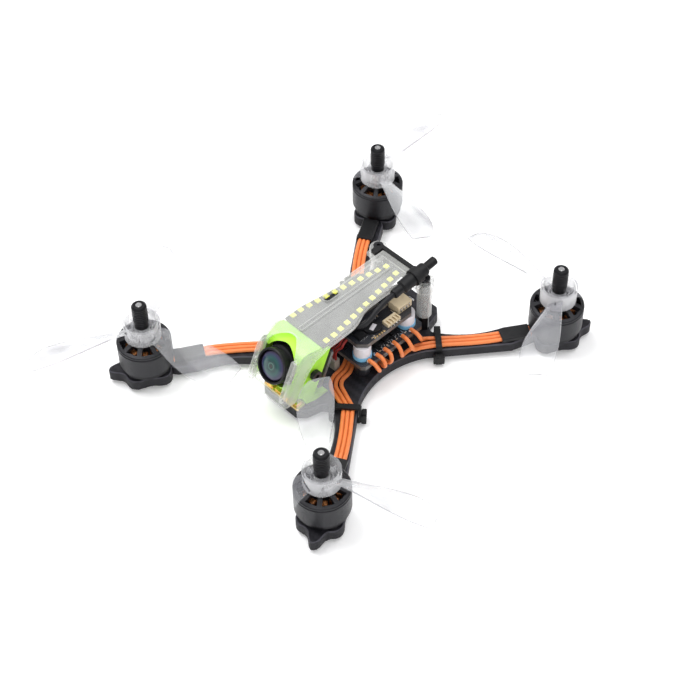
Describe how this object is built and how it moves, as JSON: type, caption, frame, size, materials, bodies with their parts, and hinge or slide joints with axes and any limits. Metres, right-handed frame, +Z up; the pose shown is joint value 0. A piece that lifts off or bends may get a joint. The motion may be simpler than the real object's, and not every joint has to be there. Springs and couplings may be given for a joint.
{
  "type": "fpv racing drone",
  "caption": "Small X-frame racing drone: one-piece carbon plate, open-bell motors with clear three-blade propellers, milky canopy over a tilting camera, side antenna.",
  "frame": {"origin": "on the underside of the carbon plate, below the middle of the body", "axes": "-Y towards the nose and the camera, +X towards the drone's left side, +Z up"},
  "size_m": [0.1509, 0.1805, 0.0342],
  "materials": {
    "antenna_black": "moulded",
    "bell_grey": "satin dark grey anodised",
    "board_black": "solder-masked circuit board",
    "bracket_black": "printed flexible plastic",
    "camera_black": "moulded",
    "canopy_clear": "milky clear polycarbonate",
    "carbon": "matt woven carbon",
    "chip_black": "moulded chip cases",
    "coax_grey": "thin coaxial lead",
    "connector_beige": "moulded",
    "copper": "enamelled copper wire",
    "lead_red": "thin leads on a small plug",
    "led_yellow": "phosphor under clear resin",
    "lens_glass": "coated lens",
    "magnet_silver": "plated",
    "motor_black": "black anodised",
    "mount_lime": "printed flexible plastic",
    "nylon_black": "nylon",
    "nylon_white": "nylon",
    "propeller_clear": "clear polycarbonate",
    "rubber_blue": "soft silicone",
    "screw_black": "black oxide",
    "sleeve_black": "heat-shrink",
    "standoff_black": "black anodised",
    "steel": "bright",
    "steel_laminate": "laminated, coated",
    "wire_orange": "orange silicone"
  },
  "bodies": {
    "airframe": {"antenna": "antenna_black", "antenna_coax": "coax_grey", "bearing_tubes": "motor_black", "bearings": "steel", "body_screws": "screw_black", "camera_mount": "mount_lime", "canopy": "canopy_clear", "esc_board": "board_black", "esc_parts": "chip_black", "fc_connectors": "connector_beige", "fc_parts": "chip_black", "flight_controller": "board_black", "frame_plate": "carbon", "led_board": "board_black", "leds": "led_yellow", "motor_base_fl": "motor_black", "motor_base_fr": "motor_black", "motor_base_rl": "motor_black", "motor_base_rr": "motor_black", "motor_screws_fl": "screw_black", "motor_screws_fr": "screw_black", "motor_screws_rl": "screw_black", "motor_screws_rr": "screw_black", "motor_wires_fl": "wire_orange", "motor_wires_fr": "wire_orange", "motor_wires_rl": "wire_orange", "motor_wires_rr": "wire_orange", "nose_leads": "lead_red", "nose_light": "board_black", "rear_bracket": "bracket_black", "rear_standoffs": "standoff_black", "stack_grommets": "rubber_blue", "stack_screws": "screw_black", "stack_spacers": "nylon_white", "stators": "steel_laminate", "video_transmitter": "board_black", "windings": "copper", "wire_sleeves": "sleeve_black", "zip_ties": "nylon_black"},
    "rotor_fl": {"motor_bell_fl": "bell_grey", "magnets_fl": "magnet_silver", "motor_shaft_fl": "steel", "propeller_fl": "propeller_clear"},
    "rotor_fr": {"motor_bell_fr": "bell_grey", "magnets_fr": "magnet_silver", "motor_shaft_fr": "steel", "propeller_fr": "propeller_clear"},
    "rotor_rl": {"motor_bell_rl": "bell_grey", "magnets_rl": "magnet_silver", "motor_shaft_rl": "steel", "propeller_rl": "propeller_clear"},
    "rotor_rr": {"motor_bell_rr": "bell_grey", "magnets_rr": "magnet_silver", "motor_shaft_rr": "steel", "propeller_rr": "propeller_clear"},
    "camera": {"camera_case": "camera_black", "camera_barrel": "camera_black", "lens_glass": "lens_glass", "camera_board": "board_black", "camera_screws": "screw_black"}
  },
  "joints": [
    {"name": "spin_fl", "type": "hinge", "parent": "airframe", "child": "rotor_fl", "pos_m": [0.0416, -0.0531, 0.018], "axis": [0, 0, 1], "continuous": true},
    {"name": "spin_fr", "type": "hinge", "parent": "airframe", "child": "rotor_fr", "pos_m": [-0.0416, -0.0531, 0.018], "axis": [0, 0, 1], "continuous": true},
    {"name": "spin_rl", "type": "hinge", "parent": "airframe", "child": "rotor_rl", "pos_m": [0.0416, 0.0531, 0.018], "axis": [0, 0, 1], "continuous": true},
    {"name": "spin_rr", "type": "hinge", "parent": "airframe", "child": "rotor_rr", "pos_m": [-0.0416, 0.0531, 0.018], "axis": [0, 0, 1], "continuous": true},
    {"name": "camera_tilt", "type": "hinge", "parent": "airframe", "child": "camera", "pos_m": [0, -0.0253, 0.017], "axis": [1, 0, 0], "range_deg": [-8, 6]}
  ]
}
